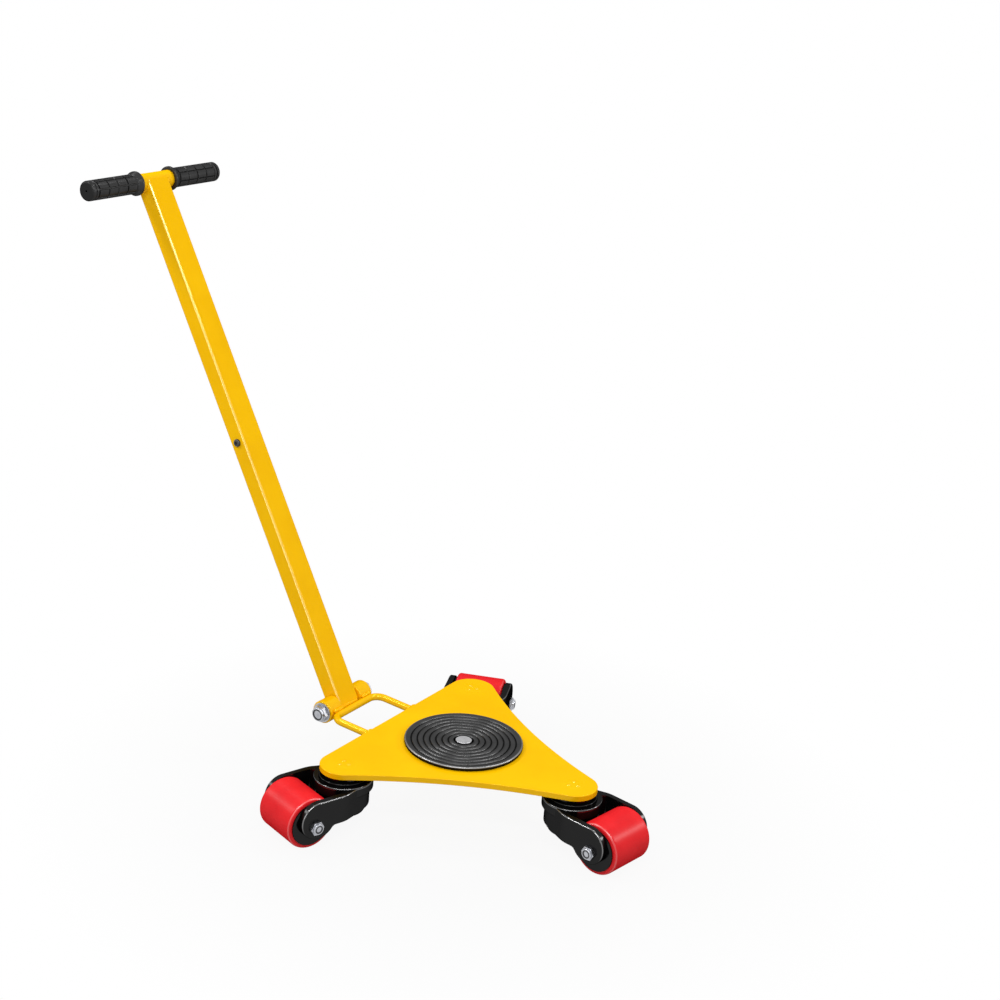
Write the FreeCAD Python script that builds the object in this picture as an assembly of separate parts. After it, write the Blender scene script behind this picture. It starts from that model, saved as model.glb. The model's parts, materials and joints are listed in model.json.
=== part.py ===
"""Steerable machine skate: a three-cornered deck on swivel casters, with a turntable and a towing handle.

Frame: millimetres, +Z up, origin at the middle of the turntable's load face, +X towards the handle.
The rest position has the handle leaning outwards and each caster turned as it stands on the floor.
"""
import FreeCAD, Part
import math
import os

Vector = FreeCAD.Vector
full_turn = 360.0
right_angle = 90.0
hexagon_sides = 6
chamfer_angle = 30.0

# Deck plate: a triangle with round corners, one straight tow side and two hollow sides
pin_spacing = 300.0
deck_thickness = 8.0
deck_corner_radius = 32.0
deck_side_offset = 18.0
deck_edge_round = 0.8

# Turntable: a grooved rubber pad on a steel disc that turns on a slide washer about the centre bolt
pad_diameter = 160.0
pad_thickness = 4.0
pad_rim_round = 1.4
pad_groove_count = 7
pad_groove_width = 2.6
pad_groove_depth = 1.0
pad_plain_rim = 8.0
backing_diameter = 158.0
backing_thickness = 1.5
slide_washer_diameter = 140.0
slide_washer_thickness = 0.5
centre_bolt_diameter = 10.0
centre_head_diameter = 22.0
centre_head_ring = 1.5
centre_head_round = 0.8
centre_washer_diameter = 22.0
centre_washer_thickness = 2.0
centre_nut_flats = 16.0
centre_nut_height = 8.0
centre_bolt_end = 2.0

# Swivel pins, their thrust bearings and lock rings
pin_diameter = 25.0
pin_neck_diameter = 20.0
pin_end_round = 0.8
keyway_width = 4.0
keyway_depth = 2.5
keyway_length = 9.0
upper_race_diameter = 60.0
upper_race_thickness = 3.0
cage_inner_diameter = 34.0
cage_outer_diameter = 56.0
cage_thickness = 2.5
lower_race_diameter = 66.0
lower_race_thickness = 3.0
race_bore_clearance = 1.0
race_edge_round = 1.0
lock_washer_diameter = 36.0
lock_washer_thickness = 1.5
lock_ring_diameter = 34.0
lock_ring_height = 5.0
lock_ring_groove_width = 2.0
lock_ring_groove_depth = 2.0
lock_ring_round = 0.8
lock_slot_count = 6
lock_slot_width = 2.2
lock_slot_depth = 2.2
pin_end = 1.0

# Fork castings
trail = 71.5
fork_collar_radius = 39.5
fork_collar_height = 14.0
fork_neck_radius = 35.0
fork_neck_height = 25.0
fork_boss_radius = 29.0
fork_boss_height = 8.0
fork_hub_round = 3.0
fork_rim_round = 1.2
fork_step_width = 3.0
fork_step_depth = 1.2
fork_recess_clearance = 1.0
fork_arm_thickness = 8.5
fork_arm_drop = 1.3
fork_arm_depth = 38.0
fork_flank_angle = 20.0
fork_flank_bend = 40.0
fork_pocket_start = 22.0
fork_pocket_round = 10.0
fork_end_radius = 25.5
fork_end_setback = 5.0
fork_crotch_round = 7.0
fork_edge_round = 2.0
bush_wall = 3.0

# Wheels and axles
wheel_diameter = 70.0
wheel_width = 70.0
axle_drop = 43.0
tyre_thickness = 7.0
tyre_edge_round = 4.0
core_bore_diameter = 24.0
core_inset = 0.6
wheel_bearing_diameter = 40.0
wheel_bearing_width = 12.0
wheel_bearing_shield_inset = 0.8
wheel_bearing_race_wall = 4.0
side_disc_diameter = 58.0
side_disc_thickness = 2.4
side_disc_rim = 3.0
side_disc_step = 0.8
wheel_side_gap = 0.4
axle_diameter = 17.0
axle_thread_diameter = 10.0
axle_head_flats = 24.0
axle_head_height = 6.0
axle_nut_flats = 17.0
axle_nut_height = 7.0
axle_nut_collar_height = 2.5
axle_end_recess = 0.5

# Tow loop, hinge and handle
hinge_reach = 204.5
loop_width = 100.0
loop_rod_diameter = 10.0
loop_bend_radius = 16.0
loop_drop = 1.0
loop_tilt = 3.0
barrel_diameter = 32.0
barrel_length = 25.0
barrel_edge_round = 1.0
knuckle_diameter = 20.4
knuckle_overhang = 0.5
hinge_bolt_diameter = 14.0
hinge_head_flats = 21.0
hinge_head_height = 6.0
hinge_nut_height = 9.5
hinge_nut_collar_height = 2.5
hinge_washer_diameter = 28.0
hinge_washer_thickness = 1.5
hinge_bolt_recess = 0.5
handle_length = 767.0
lower_tube_length = 429.0
tube_width = 40.0
tube_depth = 25.0
tube_wall = 2.0
tube_corner_radius = 3.0
tube_foot_reach = 3.0
bar_diameter = 24.0
bar_wall = 2.0
bar_length = 245.0
grip_tube_gap = 11.5
grip_diameter = 27.4
grip_flange_diameter = 33.5
grip_flange_thickness = 3.5
grip_flange_round = 1.2
grip_flange_taper = 5.0
grip_end_round = 5.0
grip_end_cap = 3.5
grip_end_band = 6.0
grip_end_ring = 3.0
grip_root_ring = 1.5
grip_groove_width = 1.5
grip_groove_depth = 0.8
grip_slot_depth = 0.7
grip_block_count = 4
grip_block_rows = 7
joining_pin_diameter = 14.0
joining_pin_reach = 57.0
joining_pin_seat = 60.0
joining_pin_chamfer = 1.2
screw_diameter = 6.0
screw_head_diameter = 11.0
screw_head_height = 3.3
screw_head_round = 2.2
screw_setback = 40.0
screw_bite = 11.0
screw_socket_flats = 4.0
screw_socket_depth = 1.8

# Fits and clearances
running_gap = 0.06
thrust_gap = 0.2
hinge_side_gap = 0.5
hole_gap = 0.2
thread_chamfer = 1.0
lock_collar_round = 1.2
cut_overrun = 1.0
edge_tolerance = 0.01

# Rest position, in degrees: the handle's lean from upright, and how each caster stands
handle_lean = 28.7
caster_names = ("left", "rear", "right")
caster_places = (60.0, 180.0, -60.0)
caster_turns = (71.6, 170.75, -67.15)
axle_nut_sides = (1, -1, -1)

# Heights that follow from the sizes above
backing_top = -pad_thickness
slide_top = backing_top - backing_thickness
deck_top = slide_top - slide_washer_thickness
deck_under = deck_top - deck_thickness
deck_middle = (deck_top + deck_under) / 2
cage_top = deck_under - upper_race_thickness - thrust_gap
lower_race_top = cage_top - cage_thickness
fork_top = lower_race_top - lower_race_thickness
neck_top = fork_top - fork_collar_height
boss_top = neck_top - fork_neck_height
fork_bottom = boss_top - fork_boss_height
lock_ring_bottom = fork_bottom
lock_ring_top = lock_ring_bottom + lock_ring_height
lock_washer_top = lock_ring_top + lock_washer_thickness
recess_top = lock_washer_top + thrust_gap
pin_bottom = fork_bottom - pin_end
axle_height = deck_under - axle_drop
hinge_height = deck_middle

# Radii and widths that follow
pin_radius = pin_diameter / 2
pin_neck_radius = pin_neck_diameter / 2
bush_radius = pin_radius + bush_wall
axle_radius = axle_diameter / 2
axle_thread_radius = axle_thread_diameter / 2
wheel_radius = wheel_diameter / 2
core_radius = wheel_radius - tyre_thickness
wheel_half = wheel_width / 2
arm_inner = wheel_half + wheel_side_gap + side_disc_thickness + hole_gap
arm_outer = arm_inner + fork_arm_thickness
flank_turn = math.radians(fork_flank_angle)
flank_start = Vector(-fork_neck_radius * math.sin(flank_turn), fork_neck_radius * math.cos(flank_turn), 0)
flank_end = flank_start.x + (arm_outer - flank_start.y) / math.tan(flank_turn)
pin_circle_radius = pin_spacing / math.sqrt(3)
grip_length = bar_length / 2 + grip_end_cap - tube_width / 2 - grip_tube_gap
tow_edge = pin_circle_radius / 2 + deck_corner_radius
barrel_radius = barrel_diameter / 2
hinge_bolt_radius = hinge_bolt_diameter / 2
knuckle_radius = knuckle_diameter / 2
knuckle_length = tube_width + knuckle_overhang * 2
barrel_start = knuckle_length / 2 + hinge_side_gap
barrel_end = barrel_start + barrel_length
loop_rod_radius = loop_rod_diameter / 2
loop_height = deck_middle - loop_drop
crosspiece = hinge_reach - math.sqrt((barrel_radius + loop_rod_radius) ** 2 - loop_drop ** 2)
bar_radius = bar_diameter / 2
screw_height = lower_tube_length - screw_setback


# Shape helpers
def in_plan(across, along):
    """A point of a plan outline."""
    return Vector(across, along, 0)


def in_side(across, up):
    """A point of a side outline."""
    return Vector(across, 0, up)


def arc_through(start, middle, end):
    """The edge of an arc through three points."""
    return Part.Arc(start, middle, end).toShape()


def straight(start, end):
    """The edge of a straight run."""
    return Part.LineSegment(start, end).toShape()


def outline_face(edges):
    """A flat face inside a closed run of edges."""
    return Part.Face(Part.Wire(Part.__sortEdges__(edges)))


def rounded_face(corners, point):
    """A flat face with corners (a, b, radius), each radius a tangent arc between two straight runs."""
    places = [point(a, b) for a, b, radius in corners]
    starts = []
    ends = []
    arcs = []
    for index, place in enumerate(places):
        radius = corners[index][2]
        back = (places[index - 1] - place).normalize()
        ahead = (places[(index + 1) % len(places)] - place).normalize()
        half = math.acos(back.dot(ahead)) / 2
        starts.append(place + back * (radius / math.tan(half)))
        ends.append(place + ahead * (radius / math.tan(half)))
        inward = (back + ahead).normalize()
        middle = place + inward * (radius / math.sin(half) - radius)
        if radius > 0:
            arcs.append(arc_through(starts[-1], middle, ends[-1]))
    runs = [straight(ends[index - 1], starts[index]) for index in range(len(places))]
    return outline_face(runs + arcs)


def turned(corners):
    """A solid turned about Z from an outline of (radius, height, rounding) corners."""
    return rounded_face(corners, in_side).revolve(Vector(0, 0, 0), Vector(0, 0, 1), full_turn)


def ring(outer, inner, bottom, top):
    """A plain ring about Z between two heights."""
    return turned([(inner, bottom, 0), (outer, bottom, 0), (outer, top, 0), (inner, top, 0)])


def disc(radius, bottom, top):
    """A plain round disc or rod about Z between two heights."""
    return Part.makeCylinder(radius, top - bottom, Vector(0, 0, bottom))


def hexagon(flats, bottom, top):
    """A hexagon prism about Z with its outer corners turned down at both ends."""
    corner = flats / math.sqrt(3)
    points = [on_circle(Vector(0, 0, bottom), corner, full_turn * side / hexagon_sides)
              for side in range(hexagon_sides)]
    prism = Part.Face(Part.makePolygon(points + points[:1])).extrude(Vector(0, 0, top - bottom))
    turned_corner = (corner - flats / 2) * math.tan(math.radians(chamfer_angle))
    flat_radius = flats / 2
    blank = turned([(0, bottom, 0), (flat_radius, bottom, 0), (corner, bottom + turned_corner, 0),
                    (corner, top - turned_corner, 0), (flat_radius, top, 0), (0, top, 0)])
    return prism.common(blank)


def lock_nut(flats, bore, low, top, collar_height):
    """A lock nut about Z: a hexagon with a round collar at its outer end."""
    collar = top - collar_height
    radius = flats / 2 - thread_chamfer
    nut = hexagon(flats, low, collar)
    nut = nut.fuse(turned([(0, collar, 0), (radius, collar, 0), (radius, top, lock_collar_round), (0, top, 0)]))
    return nut.removeSplitter().cut(disc(bore, low - cut_overrun, top + cut_overrun))


def lay_along_y(shape):
    """Turn a shape made about Z so that it lies about Y, its top towards +Y."""
    shape.rotate(Vector(0, 0, 0), Vector(1, 0, 0), -right_angle)
    return shape


def on_circle(centre, radius, degrees):
    """The point of a circle in plan at an angle from +X."""
    turn = math.radians(degrees)
    return centre + Vector(radius * math.cos(turn), radius * math.sin(turn), 0)


def pin_place(degrees):
    """A swivel axis in plan, at an angle about the turntable's centre."""
    return on_circle(Vector(0, 0, 0), pin_circle_radius, degrees)


# Deck plate
def deck_plate():
    """The plate: arcs round the pins, the straight tow side, and hollow sides tangent to the corner arcs."""
    half = pin_spacing / 2
    hollow_radius = ((half ** 2 + deck_side_offset ** 2 - deck_corner_radius ** 2)
                     / (2 * (deck_corner_radius - deck_side_offset)))
    left, rear, right = [pin_place(degrees) for degrees in caster_places]
    middle_distance = pin_circle_radius / 2
    hollow_turn = (caster_places[0] + caster_places[1]) / 2
    hollow_middle = on_circle(Vector(0, 0, 0), middle_distance + deck_side_offset, hollow_turn)
    hollow_centre = on_circle(hollow_middle, hollow_radius, hollow_turn)
    to_left = hollow_centre - left
    to_rear = hollow_centre - rear
    left_turn = math.degrees(math.atan2(to_left.y, to_left.x))
    rear_turn = math.degrees(math.atan2(to_rear.y, to_rear.x))
    mirrored = lambda place: Vector(place.x, -place.y, 0)
    left_start = on_circle(left, deck_corner_radius, 0)
    left_end = on_circle(left, deck_corner_radius, left_turn)
    rear_start = on_circle(rear, deck_corner_radius, rear_turn)
    left_bend = on_circle(left, deck_corner_radius, left_turn / 2)
    edges = [
        straight(mirrored(left_start), left_start),
        arc_through(left_start, left_bend, left_end),
        arc_through(left_end, hollow_middle, rear_start),
        arc_through(rear_start, on_circle(rear, deck_corner_radius, caster_places[1]), mirrored(rear_start)),
        arc_through(mirrored(rear_start), mirrored(hollow_middle), mirrored(left_end)),
        arc_through(mirrored(left_end), mirrored(left_bend), mirrored(left_start)),
    ]
    plate = outline_face(edges).extrude(Vector(0, 0, deck_thickness))
    plate.translate(Vector(0, 0, deck_under))
    rims = [edge for edge in plate.Edges if edge.BoundBox.ZLength < deck_edge_round]
    plate = plate.makeFillet(deck_edge_round, rims)
    for place in (left, rear, right):
        hole = disc(pin_neck_radius, deck_under - cut_overrun, deck_top + cut_overrun)
        hole.translate(place)
        plate = plate.cut(hole)
    return plate.cut(disc(centre_bolt_diameter / 2, deck_under - cut_overrun, deck_top + cut_overrun))


# Turntable
def turntable_pad():
    """The rubber pad: a disc with a rounded rim, a hole for the bolt head and even ring grooves."""
    outer = pad_diameter / 2
    hole = centre_head_diameter / 2 + centre_head_ring
    pad = turned([(hole, backing_top, 0), (outer, backing_top, pad_rim_round),
                  (outer, 0, pad_rim_round), (hole, 0, 0)])
    pitch = (outer - pad_plain_rim - hole) / pad_groove_count
    for number in range(pad_groove_count):
        middle = hole + pitch * (number + 1)
        groove = ring(middle, middle - pad_groove_width, -pad_groove_depth, cut_overrun)
        pad = pad.cut(groove)
    return pad


def centre_bolt():
    """The bolt: a flat round head flush with the pad, and a shank through the deck."""
    shank = centre_bolt_diameter / 2
    head = centre_head_diameter / 2
    head_under = backing_top + thrust_gap
    end = deck_under - centre_washer_thickness - centre_nut_height - centre_bolt_end
    return turned([(0, end, 0), (shank - thread_chamfer, end, 0), (shank, end + thread_chamfer, 0),
                   (shank, head_under, 0), (head, head_under, 0), (head, 0, centre_head_round), (0, 0, 0)])


def centre_nut():
    """The hexagon nut under the deck."""
    top = deck_under - centre_washer_thickness
    nut = hexagon(centre_nut_flats, top - centre_nut_height, top)
    return nut.cut(disc(centre_bolt_diameter / 2, top - centre_nut_height - cut_overrun, top + cut_overrun))


# Swivel parts, made about the swivel axis with the wheel towards +X
def swivel_pin():
    """The king pin: a neck welded into the deck, a journal, and a keyed end for the lock ring."""
    pin = turned([(0, pin_bottom, 0), (pin_neck_radius, pin_bottom, pin_end_round),
                  (pin_neck_radius, lock_washer_top, 0), (pin_radius, lock_washer_top, 0),
                  (pin_radius, deck_under, 0), (pin_neck_radius, deck_under, 0),
                  (pin_neck_radius, deck_top, 0), (0, deck_top, 0)])
    keyway = Part.makeBox(keyway_depth + cut_overrun, keyway_width, keyway_length + cut_overrun,
                          Vector(pin_neck_radius - keyway_depth, -keyway_width / 2, pin_bottom - cut_overrun))
    return pin.cut(keyway)


def lock_ring():
    """The ring nut: a grooved face round the pin with wrench slots in the groove's wall."""
    outer = lock_ring_diameter / 2
    groove = pin_neck_radius + lock_ring_groove_width
    nut = turned([(pin_neck_radius, lock_ring_bottom + lock_ring_groove_depth, 0),
                  (groove, lock_ring_bottom + lock_ring_groove_depth, 0), (groove, lock_ring_bottom, 0),
                  (outer, lock_ring_bottom, lock_ring_round), (outer, lock_ring_top, 0),
                  (pin_neck_radius, lock_ring_top, 0)])
    for number in range(lock_slot_count):
        slot = Part.makeBox(lock_slot_depth + lock_ring_groove_width, lock_slot_width,
                            lock_ring_groove_depth + cut_overrun,
                            Vector(pin_neck_radius, -lock_slot_width / 2, lock_ring_bottom - cut_overrun))
        slot.rotate(Vector(0, 0, 0), Vector(0, 0, 1), full_turn * number / lock_slot_count)
        nut = nut.cut(slot)
    return nut


def arm_side_face():
    """An arm seen from the side: level top, round axle end, and a crotch arc into the level underside."""
    top = fork_top - fork_arm_drop
    low = top - fork_arm_depth
    end_across = trail - fork_end_setback
    end_up = top - fork_end_radius
    reach = fork_end_radius + fork_crotch_round
    crotch_up = low - fork_crotch_round
    crotch_across = end_across - math.sqrt(reach ** 2 - (end_up - crotch_up) ** 2)
    crotch = in_side(crotch_across, crotch_up)
    to_end = (in_side(end_across, end_up) - crotch).normalize()
    meeting = crotch + to_end * fork_crotch_round
    crotch_middle = crotch + (to_end + Vector(0, 0, 1)).normalize() * fork_crotch_round
    back_top = in_side(flank_start.x, top)
    back_low = in_side(flank_start.x, low)
    return outline_face([
        straight(back_top, in_side(end_across, top)),
        arc_through(in_side(end_across, top), in_side(end_across + fork_end_radius, end_up), meeting),
        arc_through(meeting, crotch_middle, in_side(crotch_across, low)),
        straight(in_side(crotch_across, low), back_low),
        straight(back_low, back_top),
    ])


def fork_casting():
    """The fork: a stepped hub and two arms that leave it at a tangent, cut by their side outline."""
    bore = bush_radius
    recess = lock_washer_diameter / 2 + fork_recess_clearance
    step = recess + fork_step_width
    hub = turned([(bore, fork_top, 0), (fork_collar_radius, fork_top, fork_rim_round),
                  (fork_collar_radius, neck_top, fork_hub_round),
                  (fork_neck_radius, neck_top - fork_hub_round, 0),
                  (fork_neck_radius, boss_top, fork_hub_round), (fork_boss_radius, boss_top, 0),
                  (fork_boss_radius, fork_bottom, fork_rim_round), (step, fork_bottom, 0),
                  (step, fork_bottom + fork_step_depth, 0), (recess, fork_bottom + fork_step_depth, 0),
                  (recess, recess_top, 0), (bore, recess_top, 0)])
    arm_end = trail + fork_end_radius
    arms_low = fork_top - fork_arm_drop - fork_end_radius * 2 - cut_overrun
    plan = rounded_face([
        (flank_start.x, -flank_start.y, 0), (flank_end, -arm_outer, fork_flank_bend),
        (arm_end, -arm_outer, 0), (arm_end, -arm_inner, 0),
        (fork_pocket_start, -arm_inner, fork_pocket_round), (fork_pocket_start, arm_inner, fork_pocket_round),
        (arm_end, arm_inner, 0), (arm_end, arm_outer, 0),
        (flank_end, arm_outer, fork_flank_bend), (flank_start.x, flank_start.y, 0),
    ], in_plan).extrude(Vector(0, 0, fork_top - arms_low))
    plan.translate(Vector(0, 0, arms_low))
    side = arm_side_face().extrude(Vector(0, arm_outer * 2, 0))
    side.translate(Vector(0, -arm_outer, 0))
    arms = plan.common(side)
    edges = [edge for edge in arms.Edges if on_outer_face(edge)]
    arms = arms.makeFillet(fork_edge_round, edges)
    arms = arms.cut(disc(fork_boss_radius, fork_bottom, fork_top))
    return hub.fuse(arms).removeSplitter()


def on_outer_face(edge):
    """Whether an edge runs along the top, end or underside of an outer cheek, its bend or its flank."""
    place = edge.valueAt((edge.FirstParameter + edge.LastParameter) / 2)
    flank = flank_start.y + (place.x - flank_start.x) * math.tan(flank_turn)
    outside = abs(place.y) > min(flank, arm_outer) - fork_edge_round / 2
    upright = edge.BoundBox.XLength < edge_tolerance
    return outside and not upright


def axle_blank(radius, low, high):
    """A rod along Y at the axle, between two places across the fork."""
    return Part.makeCylinder(radius, high - low, Vector(trail, low, axle_height), Vector(0, 1, 0))


def fork(nut_side):
    """The casting with its axle holes: full size on the head side, thread size on the nut side."""
    head_hole = axle_blank(axle_radius, -arm_outer - cut_overrun, 0)
    nut_hole = axle_blank(axle_thread_radius + hole_gap, 0, arm_outer + cut_overrun)
    casting = fork_casting()
    for hole in (head_hole, nut_hole):
        casting = casting.cut(turn_axle(hole, nut_side))
    return casting


def turn_axle(shape, nut_side):
    """Turn a piece of the axle about the wheel's upright axis when the nut is on the other side."""
    if nut_side < 0:
        shape.rotate(Vector(trail, 0, 0), Vector(0, 0, 1), 2 * right_angle)
    return shape


def at_axle(shape):
    """Lay a shape made about Z along the axle, its top towards +Y."""
    lay_along_y(shape)
    shape.translate(Vector(trail, 0, axle_height))
    return shape


def axle_bolt():
    """The shouldered axle: hexagon head, full shank, and a thread that passes the nut-side arm."""
    end = arm_outer + axle_nut_height - axle_end_recess
    shank = turned([(0, -arm_outer, 0), (axle_radius, -arm_outer, 0), (axle_radius, arm_inner, 0),
                    (axle_thread_radius, arm_inner, 0), (axle_thread_radius, end - thread_chamfer, 0),
                    (axle_thread_radius - thread_chamfer, end, 0), (0, end, 0)])
    head = hexagon(axle_head_flats, -arm_outer - axle_head_height, -arm_outer)
    return at_axle(shank.fuse(head).removeSplitter())


def axle_nut():
    """The lock nut on the axle's thread."""
    top = arm_outer + axle_nut_height
    return at_axle(lock_nut(axle_nut_flats, axle_thread_radius, arm_outer, top, axle_nut_collar_height))


def side_discs():
    """The two dished discs between the wheel and the arms."""
    near = wheel_half + wheel_side_gap
    far = near + side_disc_thickness
    radius = side_disc_diameter / 2
    bore = axle_radius + hole_gap
    halves = []
    for side in (1, -1):
        plate = turned([(bore, near, 0), (radius, near, 0), (radius, far - side_disc_step, 0),
                        (radius - side_disc_rim, far, 0), (bore, far, 0)])
        if side < 0:
            plate.rotate(Vector(0, 0, 0), Vector(1, 0, 0), 2 * right_angle)
        halves.append(at_axle(plate))
    return Part.makeCompound(halves)


def tyre():
    """The wheel's tread: a thick sleeve with rounded shoulders."""
    return at_axle(turned([(core_radius, -wheel_half, 0), (wheel_radius, -wheel_half, tyre_edge_round),
                           (wheel_radius, wheel_half, tyre_edge_round), (core_radius, wheel_half, 0)]))


def wheel_core():
    """The wheel's core: a drum with a bearing seat at each end."""
    half = wheel_half - core_inset
    seat = wheel_bearing_diameter / 2
    seat_end = half - wheel_bearing_width
    bore = core_bore_diameter / 2
    return at_axle(turned([(bore, -seat_end, 0), (seat, -seat_end, 0), (seat, -half, 0),
                           (core_radius, -half, 0), (core_radius, half, 0), (seat, half, 0),
                           (seat, seat_end, 0), (bore, seat_end, 0)]))


def wheel_bearings():
    """The two ball bearings, each with its shield set in between the races."""
    half = wheel_half - core_inset
    outer = wheel_bearing_diameter / 2
    inner = axle_radius + running_gap
    halves = []
    outer_race = outer - wheel_bearing_race_wall
    inner_race = inner + wheel_bearing_race_wall
    low = half - wheel_bearing_width
    shield = half - wheel_bearing_shield_inset
    for side in (1, -1):
        bearing = turned([(inner, low, 0), (outer, low, 0), (outer, half, 0), (outer_race, half, 0),
                          (outer_race, shield, 0), (inner_race, shield, 0), (inner_race, half, 0),
                          (inner, half, 0)])
        if side < 0:
            bearing.rotate(Vector(0, 0, 0), Vector(1, 0, 0), 2 * right_angle)
        halves.append(at_axle(bearing))
    return Part.makeCompound(halves)


# Tow loop and hinge
def tow_loop():
    """The loop: one round rod bent twice, sloping down to the deck's tow side, where its two ends butt."""
    half = loop_width / 2
    low_bend = Vector(crosspiece - loop_bend_radius, -half, loop_height)
    low_side = Vector(crosspiece, -half + loop_bend_radius, loop_height)
    inset = loop_bend_radius * (1 - math.sqrt(0.5))
    mirrored = lambda place: Vector(place.x, -place.y, place.z)
    low_middle = Vector(crosspiece - inset, -half + inset, loop_height)
    start = Vector(tow_edge - loop_rod_radius, -half, loop_height)
    path = Part.Wire([
        straight(start, low_bend),
        arc_through(low_bend, low_middle, low_side),
        straight(low_side, mirrored(low_side)),
        arc_through(mirrored(low_side), mirrored(low_middle), mirrored(low_bend)),
        straight(mirrored(low_bend), mirrored(start)),
    ])
    section = Part.Wire([Part.makeCircle(loop_rod_radius, start, Vector(1, 0, 0))])
    rod = path.makePipeShell([section], True, False)
    rod.rotate(Vector(crosspiece, 0, loop_height), Vector(0, 1, 0), -loop_tilt)
    beyond = Part.makeBox(loop_width, loop_width * 2, loop_width,
                          Vector(tow_edge - loop_width, -loop_width, loop_height - loop_width / 2))
    return rod.cut(beyond)


def at_hinge(shape):
    """Lay a shape made about Z along the hinge axis, its top towards +Y."""
    lay_along_y(shape)
    shape.translate(Vector(hinge_reach, 0, hinge_height))
    return shape


def hinge_barrels():
    """The two barrels welded to the loop's crosspiece."""
    bore = hinge_bolt_radius + running_gap
    pair = []
    for side in (1, -1):
        low, high = sorted((side * barrel_start, side * barrel_end))
        pair.append(at_hinge(turned([(bore, low, 0), (barrel_radius, low, barrel_edge_round),
                                     (barrel_radius, high, barrel_edge_round), (bore, high, 0)])))
    return Part.makeCompound(pair)


def hinge_bolt():
    """The hinge bolt: head on the -Y side, thread end inside the nut on the +Y side."""
    low = -barrel_end - hinge_washer_thickness
    end = barrel_end + hinge_washer_thickness + hinge_nut_height - hinge_bolt_recess
    shank = turned([(0, low, 0), (hinge_bolt_radius, low, 0), (hinge_bolt_radius, end - thread_chamfer, 0),
                    (hinge_bolt_radius - thread_chamfer, end, 0), (0, end, 0)])
    head = hexagon(hinge_head_flats, low - hinge_head_height, low)
    return at_hinge(shank.fuse(head).removeSplitter())


def hinge_nut():
    """The lock nut on the hinge bolt's thread."""
    low = barrel_end + hinge_washer_thickness
    top = low + hinge_nut_height
    return at_hinge(lock_nut(hinge_head_flats, hinge_bolt_radius, low, top, hinge_nut_collar_height))


def hinge_washers():
    """A plain washer under the hinge bolt's head and one under its nut."""
    pair = []
    for side in (1, -1):
        low, high = sorted((side * barrel_end, side * (barrel_end + hinge_washer_thickness)))
        pair.append(at_hinge(ring(hinge_washer_diameter / 2, hinge_bolt_radius + hole_gap, low, high)))
    return Part.makeCompound(pair)


# Handle, made upright about the hinge axis and then leaned outwards
def lean(shape):
    """Lean a handle piece outwards and set it on the hinge axis."""
    shape.rotate(Vector(0, 0, 0), Vector(0, 1, 0), handle_lean)
    shape.translate(Vector(hinge_reach, 0, hinge_height))
    return shape


def tube_run(bottom, top):
    """A run of the handle's rectangular tube between two distances from the hinge."""
    solids = []
    for inset in (0, tube_wall):
        across = tube_depth / 2 - inset
        along = tube_width / 2 - inset
        radius = tube_corner_radius - inset
        section = rounded_face([(-across, -along, radius), (across, -along, radius),
                                (across, along, radius), (-across, along, radius)], in_plan)
        solid = section.extrude(Vector(0, 0, top - bottom))
        solid.translate(Vector(0, 0, bottom))
        solids.append(solid)
    return solids[0].cut(solids[1])


def across_tube(radius, distance):
    """A round cutter right across the handle's tube, at a distance from the hinge."""
    length = tube_width + cut_overrun * 2
    return Part.makeCylinder(radius, length, Vector(0, -length / 2, distance), Vector(0, 1, 0))


def handle_lower_tube():
    """The lower tube: its foot clasps the knuckle, and it is drilled for the joining screws."""
    tube = tube_run(-tube_foot_reach, lower_tube_length)
    tube = tube.cut(across_tube(knuckle_radius, 0))
    return lean(tube.cut(across_tube(screw_diameter / 2 + hole_gap, screw_height)))


def handle_upper_tube():
    """The upper tube, coped under the cross bar."""
    tube = tube_run(lower_tube_length, handle_length)
    return lean(tube.cut(across_tube(bar_radius, handle_length)))


def hinge_knuckle():
    """The knuckle between the barrels, welded through the lower tube's foot."""
    half = knuckle_length / 2
    bore = hinge_bolt_radius + running_gap
    return lean(lay_along_y(turned([(bore, -half, 0), (knuckle_radius, -half, barrel_edge_round),
                                    (knuckle_radius, half, barrel_edge_round), (bore, half, 0)])))


def joining_pins():
    """The two steel pins that stand out of the upper tube, each with a cross hole for its screw."""
    radius = joining_pin_diameter / 2
    place = tube_width / 2 - tube_wall - radius
    low = lower_tube_length - joining_pin_reach
    high = lower_tube_length + joining_pin_seat
    pair = []
    for side in (1, -1):
        pin = turned([(0, low, 0), (radius - joining_pin_chamfer, low, 0),
                      (radius, low + joining_pin_chamfer, 0), (radius, high, 0), (0, high, 0)])
        pin.translate(Vector(0, side * place, 0))
        pair.append(lean(pin.cut(across_tube(screw_diameter / 2, screw_height))))
    return Part.makeCompound(pair)


def joining_screws():
    """The two button-head screws through the lower tube's narrow sides."""
    head = screw_head_diameter / 2
    shank = screw_diameter / 2
    pair = []
    for side in (1, -1):
        screw = turned([(0, -screw_bite, 0), (shank, -screw_bite, 0), (shank, 0, 0), (head, 0, 0),
                        (head, screw_head_height, screw_head_round), (0, screw_head_height, 0)])
        socket_bottom = screw_head_height - screw_socket_depth
        socket = hexagon(screw_socket_flats, socket_bottom, screw_head_height + cut_overrun)
        screw = lay_along_y(screw.cut(socket))
        if side < 0:
            screw.rotate(Vector(0, 0, 0), Vector(0, 0, 1), 2 * right_angle)
        screw.translate(Vector(0, side * tube_width / 2, screw_height))
        pair.append(lean(screw))
    return Part.makeCompound(pair)


def cross_bar():
    """The T-bar tube across the top of the handle."""
    half = bar_length / 2
    bar = lay_along_y(ring(bar_radius, bar_radius - bar_wall, -half, half))
    bar.translate(Vector(0, 0, handle_length))
    return lean(bar)


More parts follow.
